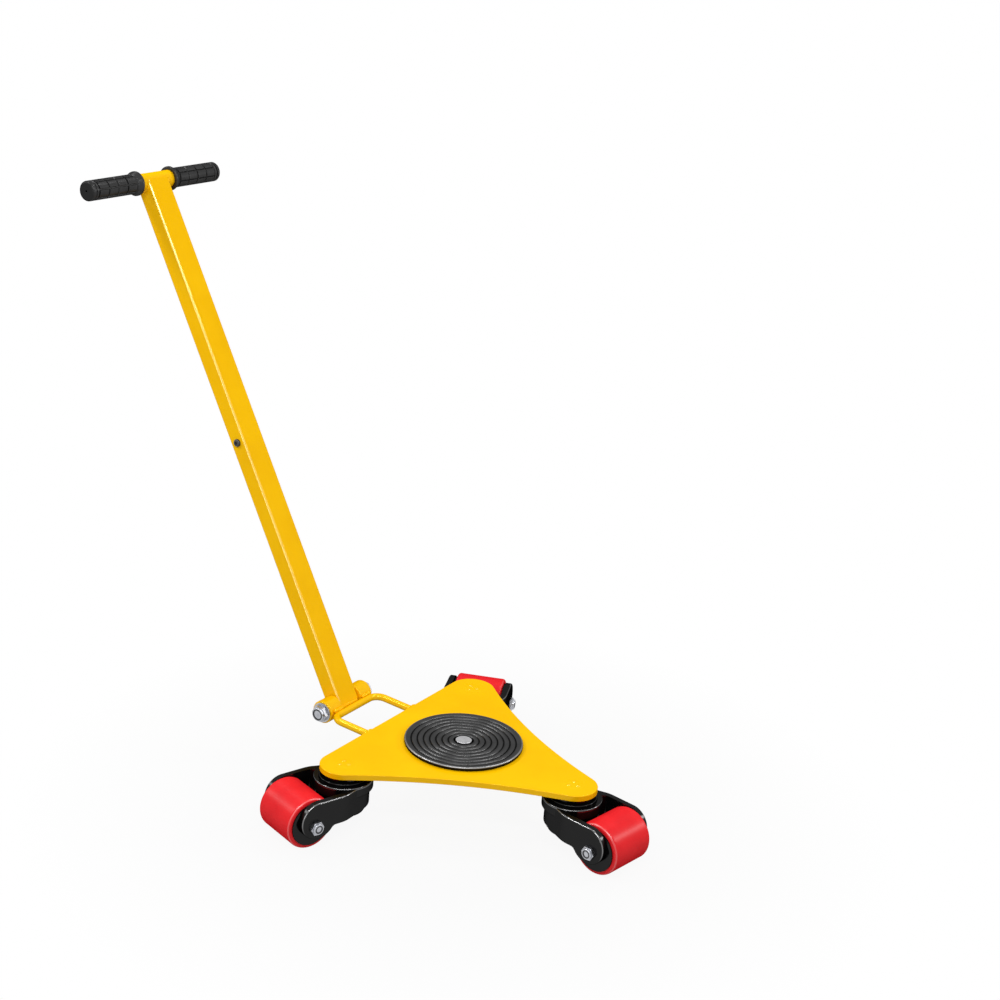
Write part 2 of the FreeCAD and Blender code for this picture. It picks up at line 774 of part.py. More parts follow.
def grip_blank(start, end):
    """A grip as a turned blank about Z: flange, tapered root, straight body and a round closed end."""
    body = grip_diameter / 2
    flange = grip_flange_diameter / 2
    flange_end = start + grip_flange_thickness
    bar_end = end - grip_end_cap
    return turned([(bar_radius, start, 0), (flange, start, grip_flange_round),
                   (flange, flange_end, grip_flange_round), (body, flange_end + grip_flange_taper, 0),
                   (body, end, grip_end_round), (0, end, 0), (0, bar_end, 0), (bar_radius, bar_end, 0)])


def grip(side):
    """A hand grip: its blank with ring grooves and slots that leave rows of raised blocks and an end ring."""
    body = grip_diameter / 2
    end = bar_length / 2 + grip_end_cap
    start = end - grip_length
    shape = grip_blank(start, end)
    ring_top = end - grip_end_band
    blocks_top = ring_top - grip_groove_width - grip_end_ring
    root = start + grip_flange_thickness + grip_flange_taper
    blocks_low = root + grip_root_ring + grip_groove_width
    pitch = (blocks_top - blocks_low) / grip_block_count
    groove_tops = [ring_top] + [blocks_low + pitch * number for number in range(grip_block_count + 1)]
    for top in groove_tops:
        groove = ring(body + cut_overrun, body - grip_groove_depth, top - grip_groove_width, top)
        shape = shape.cut(groove)
    half_width = grip_groove_width / 2
    for number in range(grip_block_rows):
        slot = Part.makeBox(grip_slot_depth + cut_overrun, grip_groove_width, blocks_top - blocks_low,
                            Vector(body - grip_slot_depth, -half_width, blocks_low - half_width))
        slot.rotate(Vector(0, 0, 0), Vector(0, 0, 1), full_turn * number / grip_block_rows)
        shape = shape.cut(slot)
    shape = lay_along_y(shape)
    if side < 0:
        shape.rotate(Vector(0, 0, 0), Vector(0, 0, 1), 2 * right_angle)
    shape.translate(Vector(0, 0, handle_length))
    return lean(shape)


# Assembly
def placed(shape, place_degrees, turn_degrees):
    """A swivel piece turned about its axis and set at its corner of the deck."""
    shape.rotate(Vector(0, 0, 0), Vector(0, 0, 1), turn_degrees)
    shape.translate(pin_place(place_degrees))
    return shape


def caster_pieces(nut_side):
    """The pieces of one caster, made about the swivel axis."""
    race_bore = pin_radius + race_bore_clearance
    race_radius = lower_race_diameter / 2
    return {
        "swivel_pin": swivel_pin(),
        "upper_race": ring(upper_race_diameter / 2, pin_radius,
                           deck_under - upper_race_thickness, deck_under),
        "thrust_cage": ring(cage_outer_diameter / 2, cage_inner_diameter / 2, lower_race_top, cage_top),
        "lower_race": turned([(race_bore, fork_top, 0), (race_radius, fork_top, 0),
                              (race_radius, lower_race_top, race_edge_round), (race_bore, lower_race_top, 0)]),
        "fork": fork(nut_side),
        "swivel_bush": ring(bush_radius, pin_radius + running_gap, recess_top, fork_top),
        "side_discs": side_discs(),
        "axle_bolt": turn_axle(axle_bolt(), nut_side),
        "axle_nut": turn_axle(axle_nut(), nut_side),
        "tyre": tyre(),
        "wheel_core": wheel_core(),
        "wheel_bearings": wheel_bearings(),
    }


def skate():
    """Every piece of the skate by name."""
    backing_bore = centre_bolt_diameter / 2 + running_gap
    washer_bore = centre_bolt_diameter / 2 + hole_gap
    pieces = {
        "deck_plate": deck_plate(),
        "turntable_pad": turntable_pad(),
        "turntable_disc": ring(backing_diameter / 2, backing_bore, slide_top, backing_top),
        "slide_washer": ring(slide_washer_diameter / 2, washer_bore, deck_top, slide_top),
        "centre_bolt": centre_bolt(),
        "centre_washer": ring(centre_washer_diameter / 2, washer_bore,
                              deck_under - centre_washer_thickness, deck_under),
        "centre_nut": centre_nut(),
        "tow_loop": tow_loop(),
        "hinge_barrels": hinge_barrels(),
        "hinge_bolt": hinge_bolt(),
        "hinge_nut": hinge_nut(),
        "hinge_washers": hinge_washers(),
        "hinge_knuckle": hinge_knuckle(),
        "handle_lower_tube": handle_lower_tube(),
        "handle_upper_tube": handle_upper_tube(),
        "joining_pins": joining_pins(),
        "joining_screws": joining_screws(),
        "cross_bar": cross_bar(),
        "grip_left": grip(1),
        "grip_right": grip(-1),
    }
    lock_rings = []
    lock_washers = []
    for name, place, turn, nut_side in zip(caster_names, caster_places, caster_turns, axle_nut_sides):
        for part_name, shape in caster_pieces(nut_side).items():
            pieces[part_name + "_" + name] = placed(shape, place, turn)
        lock_rings.append(placed(lock_ring(), place, turn))
        washer = ring(lock_washer_diameter / 2, pin_neck_radius, lock_ring_top, lock_washer_top)
        lock_washers.append(placed(washer, place, turn))
    pieces["lock_rings"] = Part.makeCompound(lock_rings)
    pieces["lock_washers"] = Part.makeCompound(lock_washers)
    return pieces


os.makedirs("parts", exist_ok=True)
for node, shape in skate().items():
    shape.exportStep("parts/" + node + ".step")
    print(node, "solids", len(shape.Solids), "valid", shape.isValid(), "volume", round(shape.Volume))
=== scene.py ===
# %% [markdown]
# A machine skate carries one corner of a heavy machine: a steel deck on three swivel casters, a turntable
# on top and a towing handle at the front. Its solids come ready made in the frame, in metres, with +Z up
# and +X towards the handle. This lesson adds what a workshop adds: moulded rubber, weld beads, paint, and a
# studio to look at it in.

# %% Load the frame
import json
import math
import bmesh
import bpy
import numpy as np
from mathutils import Matrix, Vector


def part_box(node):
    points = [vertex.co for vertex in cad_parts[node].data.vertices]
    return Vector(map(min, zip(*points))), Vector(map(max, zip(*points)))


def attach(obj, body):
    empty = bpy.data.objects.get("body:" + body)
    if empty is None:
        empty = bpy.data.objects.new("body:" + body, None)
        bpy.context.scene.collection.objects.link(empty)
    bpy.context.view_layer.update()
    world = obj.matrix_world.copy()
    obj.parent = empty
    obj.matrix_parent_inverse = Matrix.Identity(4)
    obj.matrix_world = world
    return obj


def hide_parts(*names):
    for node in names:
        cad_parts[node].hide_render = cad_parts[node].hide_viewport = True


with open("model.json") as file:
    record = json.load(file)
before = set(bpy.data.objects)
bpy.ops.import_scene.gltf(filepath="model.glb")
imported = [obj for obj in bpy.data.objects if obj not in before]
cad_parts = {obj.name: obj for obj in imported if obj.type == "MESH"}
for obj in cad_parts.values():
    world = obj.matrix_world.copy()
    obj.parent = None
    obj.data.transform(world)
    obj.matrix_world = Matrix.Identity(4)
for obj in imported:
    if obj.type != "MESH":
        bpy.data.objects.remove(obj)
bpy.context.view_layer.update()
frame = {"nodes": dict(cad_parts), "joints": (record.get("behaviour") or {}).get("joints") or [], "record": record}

joints = {joint["name"]: joint for joint in frame["joints"]}
casters = ("left", "rear", "right")
print("nodes:", len(frame["nodes"]), "joints:", sorted(joints))

# %% [markdown]
# New pieces have to sit on the solids to a fraction of a millimetre. Their sizes could be typed again, but
# would be wrong as soon as a solid changes, so they are measured from the frame. A node's vertices give its
# radius about an axis and where it starts and ends along it. The handle is a straight line from the hinge
# to the middle of its cross bar, and each caster has a swivel pin, a wheel and an axle.

# %% Measure the solids
mm = 0.001
rod_end_slice = 0.2 * mm
crosspiece_slice = 1.0 * mm


def unit(vector):
    """A vector divided by its own length."""
    vector = np.asarray(vector, float)
    return vector / np.linalg.norm(vector, axis=-1, keepdims=True)


def node_points(node):
    """The vertices of a CAD node as one array."""
    mesh = frame["nodes"][node].data
    points = np.zeros(len(mesh.vertices) * 3)
    mesh.vertices.foreach_get("co", points)
    return points.reshape(-1, 3)


def about_axis(node, centre, axis):
    """Each vertex's distance from an axis, and its place along the axis from the centre."""
    offset = node_points(node) - centre
    along = offset @ axis
    return np.linalg.norm(offset - along[:, None] * axis, axis=1), along


def box_middle(node):
    """The middle of a node's box."""
    low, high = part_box(node)
    return (np.array(low) + np.array(high)) / 2


upward = np.array((0.0, 0.0, 1.0))
forward = np.array((1.0, 0.0, 0.0))
leftward = np.array((0.0, 1.0, 0.0))
hinge = np.array(joints["handle_pivot"]["pos_m"])
pins = {name: np.array(joints["swivel_" + name]["pos_m"]) for name in casters}
wheel_middles = {name: np.array(joints["roll_" + name]["pos_m"]) for name in casters}
axles = {name: np.array(joints["roll_" + name]["axis"]) for name in casters}
bar_middle = box_middle("cross_bar")
bar_middle[1] = hinge[1]
handle_along = unit(bar_middle - hinge)
handle_face = np.cross(handle_along, leftward)
bar_radius = about_axis("cross_bar", bar_middle, leftward)[0].max()
barrel_radius = about_axis("hinge_barrels", hinge, leftward)[0].max()
deck_high = np.array(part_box("deck_plate")[1])
loop_points = node_points("tow_loop")
loop_high = loop_points.max(axis=0)
rod_end_points = loop_points[loop_points[:, 0] < deck_high[0] + rod_end_slice]
cross_points = loop_points[loop_points[:, 0] > loop_high[0] - crosspiece_slice]
rod_radius = np.ptp(rod_end_points[:, 2]) / 2
round_sizes = np.array((bar_radius, barrel_radius, rod_radius)) / mm
print("bar, barrel and rod radius in mm:", np.round(round_sizes, 2))

# %% [markdown]
# Every new piece is a grid of points: a profile turned round an axis, or a circle carried along a path.
# Blender can spin and bevel as well, but a grid worked out by a formula can swell, sink and carry relief
# anywhere. One helper turns such grids into a mesh, closes their seams and poles by merging points that
# meet, and points the faces outwards. Shading is smooth except across corners that are really sharp.

# %% Grids into meshes
made_pieces = []
sharp_angle = math.radians(38)
merge_distance = 1e-6


def cell_corners(rows, columns, wrap_rows, wrap_columns):
    """The four corner numbers of each grid cell. A wrapped side joins its last points to its first."""
    row_starts = np.arange(rows - 1 + wrap_rows)
    column_starts = np.arange(columns - 1 + wrap_columns)
    row, column = np.meshgrid(row_starts, column_starts, indexing="ij")
    next_row = (row + 1) % rows
    next_column = (column + 1) % columns
    corners = (row * columns + column, row * columns + next_column,
               next_row * columns + next_column, next_row * columns + column)
    return np.stack(corners, -1).reshape(-1, 4)


def make_piece(name, grids, body, slot, hides=(), look=None):
    """One mesh object from grids of points, each given with whether its rows and its columns wrap."""
    points, cells, count = [], [], 0
    for grid, wrap_rows, wrap_columns in grids:
        rows, columns = grid.shape[:2]
        points.append(grid.reshape(-1, 3))
        cells.append(cell_corners(rows, columns, wrap_rows, wrap_columns) + count)
        count += rows * columns
    cells = np.concatenate(cells)
    mesh = bpy.data.meshes.new(name)
    mesh.vertices.add(count)
    mesh.vertices.foreach_set("co", np.concatenate(points).ravel())
    mesh.loops.add(cells.size)
    mesh.loops.foreach_set("vertex_index", cells.ravel().astype(np.int32))
    mesh.polygons.add(len(cells))
    mesh.polygons.foreach_set("loop_start", np.arange(0, cells.size, 4, dtype=np.int32))
    mesh.update(calc_edges=True)
    shell = bmesh.new()
    shell.from_mesh(mesh)
    bmesh.ops.remove_doubles(shell, verts=shell.verts, dist=merge_distance)
    bmesh.ops.dissolve_degenerate(shell, edges=shell.edges, dist=merge_distance)
    bmesh.ops.recalc_face_normals(shell, faces=shell.faces)
    shell.to_mesh(mesh)
    shell.free()
    mesh.shade_smooth()
    mesh.set_sharp_from_angle(angle=sharp_angle)
    piece = bpy.data.objects.new(name, mesh)
    bpy.context.scene.collection.objects.link(piece)
    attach(piece, body)
    if hides:
        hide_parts(*hides)
    made_pieces.append((piece, look or slot))
    print(name, "faces:", len(mesh.polygons))


print("corners stay sharp past", round(math.degrees(sharp_angle)), "degrees")

# %% [markdown]
# Two kinds of line feed the grids. A profile is a few corners, each rounded by an arc that touches both of
# its straight runs. A path is a line of points made finer until its steps are short enough. Curve objects
# could hold both, but plain arrays can be bent by a formula before they become a mesh. Turning a profile
# about an axis gives a row of points for each angle.

# %% Profiles, paths and turning
corner_steps = 6
nearly_along = 0.9


def rounded(corners, closed=True):
    """Points along straight runs between corners (a, b, radius), each an arc that touches both its runs."""
    points = []
    last = len(corners) - 1
    for number, (a, b, radius) in enumerate(corners):
        here = np.array((a, b))
        if radius == 0 or (not closed and number in (0, last)):
            points.append(here[None])
            continue
        back = unit(np.array(corners[number - 1][:2]) - here)
        ahead = unit(np.array(corners[(number + 1) % len(corners)][:2]) - here)
        half = math.acos(np.clip(back @ ahead, -1, 1)) / 2
        middle = here + unit(back + ahead) * radius / math.sin(half)
        first = here + back * radius / math.tan(half) - middle
        final = here + ahead * radius / math.tan(half) - middle
        begin = math.atan2(first[1], first[0])
        turn = math.atan2(first[0] * final[1] - first[1] * final[0], first @ final)
        angle = begin + turn * np.linspace(0, 1, corner_steps)
        points.append(middle + radius * np.stack((np.cos(angle), np.sin(angle)), -1))
    return np.concatenate(points)


def run_along(points):
    """The length run along a line of points up to each of them, from 0 at the first."""
    return np.concatenate(((0,), np.cumsum(np.linalg.norm(np.diff(points, axis=0), axis=1))))


def finer(points, longest):
    """The same line of points with more of them, so that no step is longer than a length."""
    run = run_along(points)
    even = np.union1d(run, np.linspace(0, run[-1], int(run[-1] / longest) + 1))
    return np.stack([np.interp(even, run, values) for values in points.T], -1)


def turned_grid(radius, along, centre, axis, angle):
    """A row for each angle, of points at
    centre + axis * along + radius * (side * cos(angle) + other * sin(angle))."""
    side = unit(np.cross(axis, forward if abs(axis[0]) < nearly_along else upward))
    other = np.cross(axis, side)
    round_axis = side * np.cos(angle)[:, None] + other * np.sin(angle)[:, None]
    return centre + axis * along[..., None] + radius[..., None] * round_axis[:, None]


def even_angles(count):
    """Angles all the way round, without the last one that would repeat the first."""
    return np.linspace(0, 2 * np.pi, count, endpoint=False)


print("a rounded corner has", corner_steps, "points")

# %% [markdown]
# The turntable's pad is moulded rubber. Its ridges are crowned, so that each catches the lamps in a short
# bright streak, and narrow ring grooves lie between them. The grooves could be cut one by one, but here the
# height is one function of the distance from the centre bolt, which gives clean walls and rounded crowns in
# one go. That line is closed round the rim and the underside, and turned.

# %% The turntable's pad
pad_middle = np.zeros(3)
pad_grooves = 7
groove_width = 2.4 * mm
groove_depth = 1.9 * mm
groove_wall = 0.8 * mm
crown_drop = 0.8 * mm
plain_rim = 8.0 * mm
rim_round = 1.6 * mm
floor_round = 0.3 * mm
pad_step = 0.3 * mm
pad_sides = 192
bolt_ring = 1.2 * mm

pad_distance, pad_height = about_axis("turntable_pad", pad_middle, upward)
pad_radius = pad_distance.max()
pad_hole = pad_distance.min() + bolt_ring
pad_bottom = pad_height.min()
groove_pitch = (pad_radius - plain_rim - pad_hole) / pad_grooves
ridge_width = groove_pitch - groove_width


def ridged_height(radius):
    """A parabola over each ridge, and a smooth step t*t*(3 - 2t) down the walls of each groove."""
    ring = np.minimum(np.floor((radius - pad_hole) / groove_pitch), pad_grooves)
    place = radius - pad_hole - ring * groove_pitch
    on_rim = ring == pad_grooves
    across = place / np.where(on_rim, plain_rim, ridge_width) * 2 - 1
    crown = -crown_drop * np.clip(across, -1, np.where(on_rim, 0, 1)) ** 2
    inside = groove_width / 2 - np.abs(place - ridge_width - groove_width / 2)
    step = np.clip(inside / groove_wall, 0, 1) * ~on_rim
    return crown - (groove_depth - crown_drop) * step * step * (3 - 2 * step)


pad_edge = rounded([(pad_hole, pad_bottom, 0), (pad_radius, pad_bottom, floor_round),
                    (pad_radius, 0, rim_round), (pad_hole, 0, 0)], closed=False)[:-1]
pad_line = np.arange(pad_edge[-1, 0] - pad_step, pad_hole, -pad_step)
pad_profile = np.concatenate((pad_edge, np.stack((pad_line, ridged_height(pad_line)), -1)))
pad_grid = turned_grid(pad_profile[None, :, 0], pad_profile[None, :, 1], pad_middle, upward,
                       even_angles(pad_sides))
make_piece("ring_grooved_pad", [(pad_grid, True, True)], "turntable", "pad_rubber", ["turntable_pad"])

# %% [markdown]
# A hand grip is soft rubber pushed over the bar: a flange keeps the hand off the tube, rows of raised
# blocks keep it from slipping, and the closed end has a small vent. Blocks could be a painted pattern, but
# then the outline would stay smooth. Here the grip is a turned profile whose radius drops wherever the
# angle or the place along it falls in a groove, so the blocks are real relief.

# %% The hand grips
flange_thickness = 3.5 * mm
flange_round = 1.2 * mm
root_taper = 5.0 * mm
root_ring = 1.5 * mm
end_round = 3.2 * mm
end_wall = 3.5 * mm
end_band = 6.0 * mm
end_ring = 3.0 * mm
block_groove = 1.9 * mm
block_depth = 1.35 * mm
block_edge = 0.4 * mm
block_rows = 7
block_count = 4
sides_per_row = 36
vent_radius = 1.6 * mm
vent_depth = 1.8 * mm
grip_step = 0.42 * mm


def soft_groove(distance):
    """1 on a groove's floor, 0 on the blocks, and a smooth step t*t*(3 - 2t) up the groove's wall."""
    step = np.clip((block_groove / 2 + block_edge / 2 - distance) / block_edge, 0, 1)
    return step * step * (3 - 2 * step)


def hand_grip(name, node, outward):
    """The grip's turned profile, less a groove's depth wherever a ring or a lengthwise groove runs. The
    radius at the top of its blocks is handed back."""
    distance, along = about_axis(node, bar_middle, outward)
    start, end, flange = along.min(), along.max(), distance.max()
    body = distance[along > (start + end) / 2].max()
    length = end - start
    root = flange_thickness + root_taper
    line = rounded([(0, length - end_wall, 0), (bar_radius, length - end_wall, 0), (bar_radius, 0, 0),
                    (flange, 0, flange_round), (flange, flange_thickness, flange_round),
                    (body, root, root_ring), (body, length, end_round), (vent_radius, length, block_edge),
                    (vent_radius, length - vent_depth, 0), (0, length - vent_depth, 0)], closed=False)
    line = finer(line, grip_step)
    radius, place = line[:, 0], line[:, 1]
    blocks_low = root + root_ring + block_groove / 2
    blocks_high = length - end_band - block_groove - end_ring - block_groove / 2
    last_ring = length - end_band - block_groove / 2
    ring_places = np.append(np.linspace(blocks_low, blocks_high, block_count + 1), last_ring)
    angle = even_angles(block_rows * sides_per_row)
    turn = (angle / (2 * np.pi) * block_rows) % 1
    across = np.minimum(turn, 1 - turn) * 2 * np.pi * body / block_rows
    rings = soft_groove(np.abs(place[:, None] - ring_places).min(axis=1))
    among_blocks = (place > blocks_low) & (place < blocks_high)
    outside = radius > bar_radius + block_depth
    relief = np.maximum(rings, soft_groove(across)[:, None] * among_blocks) * outside
    grid = turned_grid(radius - block_depth * relief, start + place, bar_middle, outward, angle)
    make_piece(name, [(grid, True, False)], "handle", "grip_rubber", [node])
    return body


block_radius = hand_grip("block_grip_left", "grip_left", leftward)
hand_grip("block_grip_right", "grip_right", -leftward)

# %% [markdown]
# The frame's pieces are arc welded, and the paint goes over the welds. A bevelled curve would give an even
# tube, but a real bead shows each step of the torch. So a bead is a circle carried along the seam, whose
# radius swells and sinks with each ripple, and closes like half a ball at both ends. The first beads run
# round the ends of the tow loop's rod, where they meet the deck's edge.

# %% Weld beads round the tow loop's ends
ripple_pitch = 2.2 * mm
ripple_swell = 0.16
steps_per_ripple = 8
bead_sides = 20
arc_steps = 60


def weld_bead(path, radius, steady):
    """Circles square to a path, of radius * (1 + swell * |sin(pi * run / pitch)|), shrinking to a point at
    each end. The steady direction is one that the path never takes, such as the normal of its plane."""
    path = finer(np.asarray(path), ripple_pitch / steps_per_ripple)
    run = run_along(path)
    to_end = np.clip(np.minimum(run, run[-1] - run) / radius, 0, 1)
    size = radius * (1 + ripple_swell * np.abs(np.sin(np.pi * run / ripple_pitch)))
    size *= np.sqrt(np.clip(1 - (1 - to_end) ** 2, 0, 1))
    ahead = unit(np.gradient(path, axis=0))
    side = unit(np.cross(steady, ahead))
    other = np.cross(ahead, side)
    angle = even_angles(bead_sides)
    circle = side[:, None] * np.cos(angle)[:, None] + other[:, None] * np.sin(angle)[:, None]
    return path[:, None] + size[:, None, None] * circle, False, True


def arc_path(centre, first, second, radius, begin, end):
    """Points at centre + radius * (first * cos(angle) + second * sin(angle)), for angles in degrees."""
    angle = np.radians(np.linspace(begin, end, arc_steps))
    return centre + radius * (first * np.cos(angle)[:, None] + second * np.sin(angle)[:, None])


loop_bead = 2.6 * mm
loop_out_share = 0.3
loop_proud_share = 0.25
loop_seam = (-25, 205)
tow_edge = deck_high[0]
rod_height = (rod_end_points[:, 2].min() + rod_end_points[:, 2].max()) / 2
rod_place = loop_high[1] - rod_radius
loop_beads = []
for side in (1, -1):
    rod_end = np.array((tow_edge + loop_bead * loop_out_share, side * rod_place, rod_height))
    seam_radius = rod_radius + loop_bead * loop_proud_share
    seam_arc = arc_path(rod_end, leftward, upward, seam_radius, *loop_seam)
    loop_beads.append(weld_bead(seam_arc, loop_bead, forward))
make_piece("loop_welds", loop_beads, "deck", "yellow_paint", look="thick enamel")

# %% [markdown]
# Each hinge barrel lies against the loop's crosspiece, and a bead fills the valley above and below the line
# where the two round pieces meet. Its place could be judged by eye, but a circle that touches both of them
# has only one middle on each side: its distances to the two axes are known, and the law of cosines gives
# the rest. The bead is then made a little larger, so that it sinks into both.

# %% Welds between the barrels and the loop's crosspiece
barrel_bead = 1.7 * mm
bead_sink = 0.5 * mm
bead_inset_share = 0.4
bead_length_share = 0.8
cross_height = (cross_points[:, 2].min() + cross_points[:, 2].max()) / 2
rod_middle = np.array((loop_high[0] - rod_radius, 0, cross_height))
hinge_middle = hinge * (1, 0, 1)
apart = np.linalg.norm(rod_middle - hinge_middle)
to_rod = (rod_middle - hinge_middle) / apart
over_rod = np.cross(leftward, to_rod)
barrel_reach, rod_reach = barrel_radius + barrel_bead, rod_radius + barrel_bead
bead_along = (apart ** 2 + barrel_reach ** 2 - rod_reach ** 2) / (2 * apart)
bead_over = math.sqrt(barrel_reach ** 2 - bead_along ** 2)
barrel_place = np.abs(about_axis("hinge_barrels", hinge, leftward)[1])
barrel_start, barrel_end = barrel_place.min(), barrel_place.max()
bead_start = barrel_start + barrel_bead * bead_inset_share
bead_end = barrel_start + (barrel_end - barrel_start) * bead_length_share
barrel_beads = []
for side in (1, -1):
    for over in (1, -1):
        seam = hinge_middle + to_rod * bead_along + over_rod * over * bead_over
        seam_line = seam + leftward * side * np.array((bead_start, bead_end))[:, None]
        barrel_beads.append(weld_bead(seam_line, barrel_bead + bead_sink, upward))
make_piece("barrel_welds", barrel_beads, "deck", "yellow_paint", look="thick enamel")

# %% [markdown]
# The handle is a rectangular tube. Its foot is welded to the knuckle along both wide sides, and its head is
# cut round to fit the cross bar and welded to it on both narrow sides. The same bead serves: straight at
# the foot, and along an arc of the bar's own radius at the head.

# %% Welds at the handle's foot and under the cross bar
foot_bead = 2.5 * mm
foot_drop = 2.0 * mm
foot_inset = 2.1 * mm
bar_bead = 1.5 * mm
bar_out_share = 0.2
bar_seam = (-82, 82)
tube_offset = node_points("handle_lower_tube") - hinge
tube_half_depth = np.abs(tube_offset @ handle_face).max()
tube_half_width = np.abs(tube_offset @ leftward).max()
foot_end = (tube_offset @ handle_along).min()
handle_beads = []
for side in (1, -1):
    foot = hinge + handle_along * (foot_end - foot_drop) + handle_face * side * (tube_half_depth - foot_inset)
    foot_line = foot + leftward * (tube_half_width - foot_bead) * np.array((-1, 1))[:, None]
    handle_beads.append(weld_bead(foot_line, foot_bead, upward))
    bar_end = bar_middle + leftward * side * (tube_half_width + bar_bead * bar_out_share)
    bar_arc = arc_path(bar_end, -handle_along, handle_face, bar_radius, *bar_seam)
    handle_beads.append(weld_bead(bar_arc, bar_bead, leftward))
make_piece("handle_welds", handle_beads, "handle", "yellow_paint")

# %% [markdown]
# Each swivel pin is plug welded into the deck from above and ground nearly flush, which leaves a low ring
# under the paint and three small drops of weld that shine. A bump in the paint could hint at them, but real
# relief catches the lamps. The plug is a height over a disc, given by one formula of the distance from the
# middle and the angle, and a drop is a flattened ball.

# %% Plug welds over the swivel pins
plug_radius = 15.0 * mm
plug_rise = 0.45 * mm
plug_ring = 9.5 * mm
ring_rise = 0.20 * mm
ring_width = 1.5 * mm
ring_waves = 9
ring_level_share, ring_swing_share = 0.7, 0.3
plug_sides = 96
plug_rings = 40
plug_floor_rings = 6
drop_ring = 6.7 * mm
drop_rise = 1.4 * mm
drop_width = 2.8 * mm
drop_base = 0.1 * mm
drop_sides = 24
drop_rings = 17
drop_levels = np.linspace(-math.pi / 2, math.pi / 2, drop_rings)[None]
drop_turns = np.radians((62, 182, 302))
plug_turns = {"left": 0.1, "rear": -0.1, "right": 0.3}


def plug_weld(middle, turn):
    """A dome 1 - s*s with a ring exp(-d*d) that waves as sin(angle), both times 1 - s^4, over a flat floor.
    Here s is the share of the plug's radius, and d the distance from the ring in widths."""
    distance = np.concatenate((np.linspace(0, plug_radius, plug_rings),
                               np.linspace(plug_radius, 0, plug_floor_rings)))[None]
    angle = even_angles(plug_sides)
    share = distance / plug_radius
    wave = (ring_level_share + ring_swing_share * np.sin(angle * ring_waves + turn))[:, None]
    ring = ring_rise * np.exp(-((distance - plug_ring) / ring_width) ** 2) * wave
    height = (plug_rise * (1 - share ** 2) + ring) * (1 - share ** 4)
    height[:, plug_rings:] = -plug_rise
    radius = np.broadcast_to(distance, height.shape)
    return turned_grid(radius, height, middle, upward, angle), True, False


def weld_drop(middle):
    """A ball of width * cos(level) across and rise * sin(level) high, on a small base."""
    radius = drop_width * np.cos(drop_levels)
    height = drop_rise * np.sin(drop_levels) + drop_base
    return turned_grid(radius, height, middle, upward, even_angles(drop_sides)), True, False


plugs, drops = [], []
for name in casters:
    plug_middle = pins[name] * (1, 1, 0) + upward * deck_high[2]
    plugs.append(plug_weld(plug_middle, plug_turns[name]))
    for turn in drop_turns + plug_turns[name]:
        drops.append(weld_drop(plug_middle + drop_ring * np.array((math.cos(turn), math.sin(turn), 0))))
make_piece("pin_plug_welds", plugs, "deck", "yellow_paint")
make_piece("pin_weld_drops", drops, "deck", "yellow_paint", look="wet enamel")

# %% [markdown]
# A lock nut grips its bolt with a ring of nylon pressed into the nut's outer end. Here the ring is given a
# dark finish, which is also painted shade round the bolt. It could be painted on the nut, but its edge
# catches light, so each is turned as a small ring of its own with rounded corners, just proud of its nut.

# %% The lock nuts' rings
nylon_proud = 0.15 * mm
nylon_depth = 0.45 * mm
nylon_round = 0.12 * mm
nylon_inside = 0.9 * mm
nylon_sides = 72
hinge_nylon_wall = 2.0 * mm
axle_nylon_wall = 1.8 * mm


def nylon_ring(name, node, centre, axis, wall, body):
    """A rounded rectangle of a given wall over the bolt's chamfer, turned at the nut's outer end."""
    distance, along = about_axis(node, centre, axis)
    bore, end = distance.min() - nylon_inside, along.max()
    line = rounded([(bore, end - nylon_depth, 0), (bore + wall, end - nylon_depth, 0),
                    (bore + wall, end + nylon_proud, nylon_round), (bore, end + nylon_proud, nylon_round)])
    grid = turned_grid(line[None, :, 0], line[None, :, 1], centre, axis, even_angles(nylon_sides))
    # The ring's dark finish is partly painted shade round the bolt.
    make_piece(name, [(grid, True, True)], body, "black_steel")


nylon_ring("hinge_nut_ring", "hinge_nut", hinge, leftward, hinge_nylon_wall, "deck")
for name in casters:
    nut = "axle_nut_" + name
    nut_side = unit(box_middle(nut) - wheel_middles[name])
    nylon_ring("axle_nut_ring_" + name, nut, wheel_middles[name], nut_side, axle_nylon_wall, "caster_" + name)

# %% [markdown]
# Paint, rubber and plating are nodes, and node maths reads best as ordinary maths. The class below wraps a
# socket, so that a + b or 1 - mask adds the Math nodes by itself, and one method adds any other node. Nodes
# could be linked one by one, but then the formula would be hard to see.

# %% A socket that does maths
class Wire:
    """A shader socket: + - * and their reflected forms add a Math node, and node() adds any other node."""

    def __init__(self, tree, socket=None):
        self.tree = tree
        self.socket = socket

    def node(self, kind, settings=None, sockets=None, out=0):
        """A node of a kind with its settings made first, then its sockets given values or wires."""
        made = self.tree.nodes.new("ShaderNode" + kind)
        for name, value in (settings or {}).items():
            setattr(made, name, value)
        for name, value in (sockets or {}).items():
            if isinstance(value, Wire):
                self.tree.links.new(value.socket, made.inputs[name])
            else:
                made.inputs[name].default_value = value
        return Wire(self.tree, made.outputs[out] if made.outputs else None)

    def maths(self, operation, first, second):
        """A Math node on two values or wires."""
        return self.node("Math", {"operation": operation}, {0: first, 1: second})

    def __add__(self, other):
        return self.maths("ADD", self, other)

    def __sub__(self, other):
        return self.maths("SUBTRACT", self, other)

    def __rsub__(self, other):
        return self.maths("SUBTRACT", other, self)

    def __mul__(self, other):
        return self.maths("MULTIPLY", self, other)

    __radd__ = __add__
    __rmul__ = __mul__


print("made a socket that takes + - * and their reflected forms")

# %% [markdown]
# A finish changes from place to place: clouds of wear come from noise, and lines along edges come from
# where a point is. A painted picture could do the same, but would have to be unwrapped on every piece. So
# every pattern reads Object coordinates, which stay with a piece when it moves: a height, or a distance
# from an axis or a plane, always means the same spot on the piece.

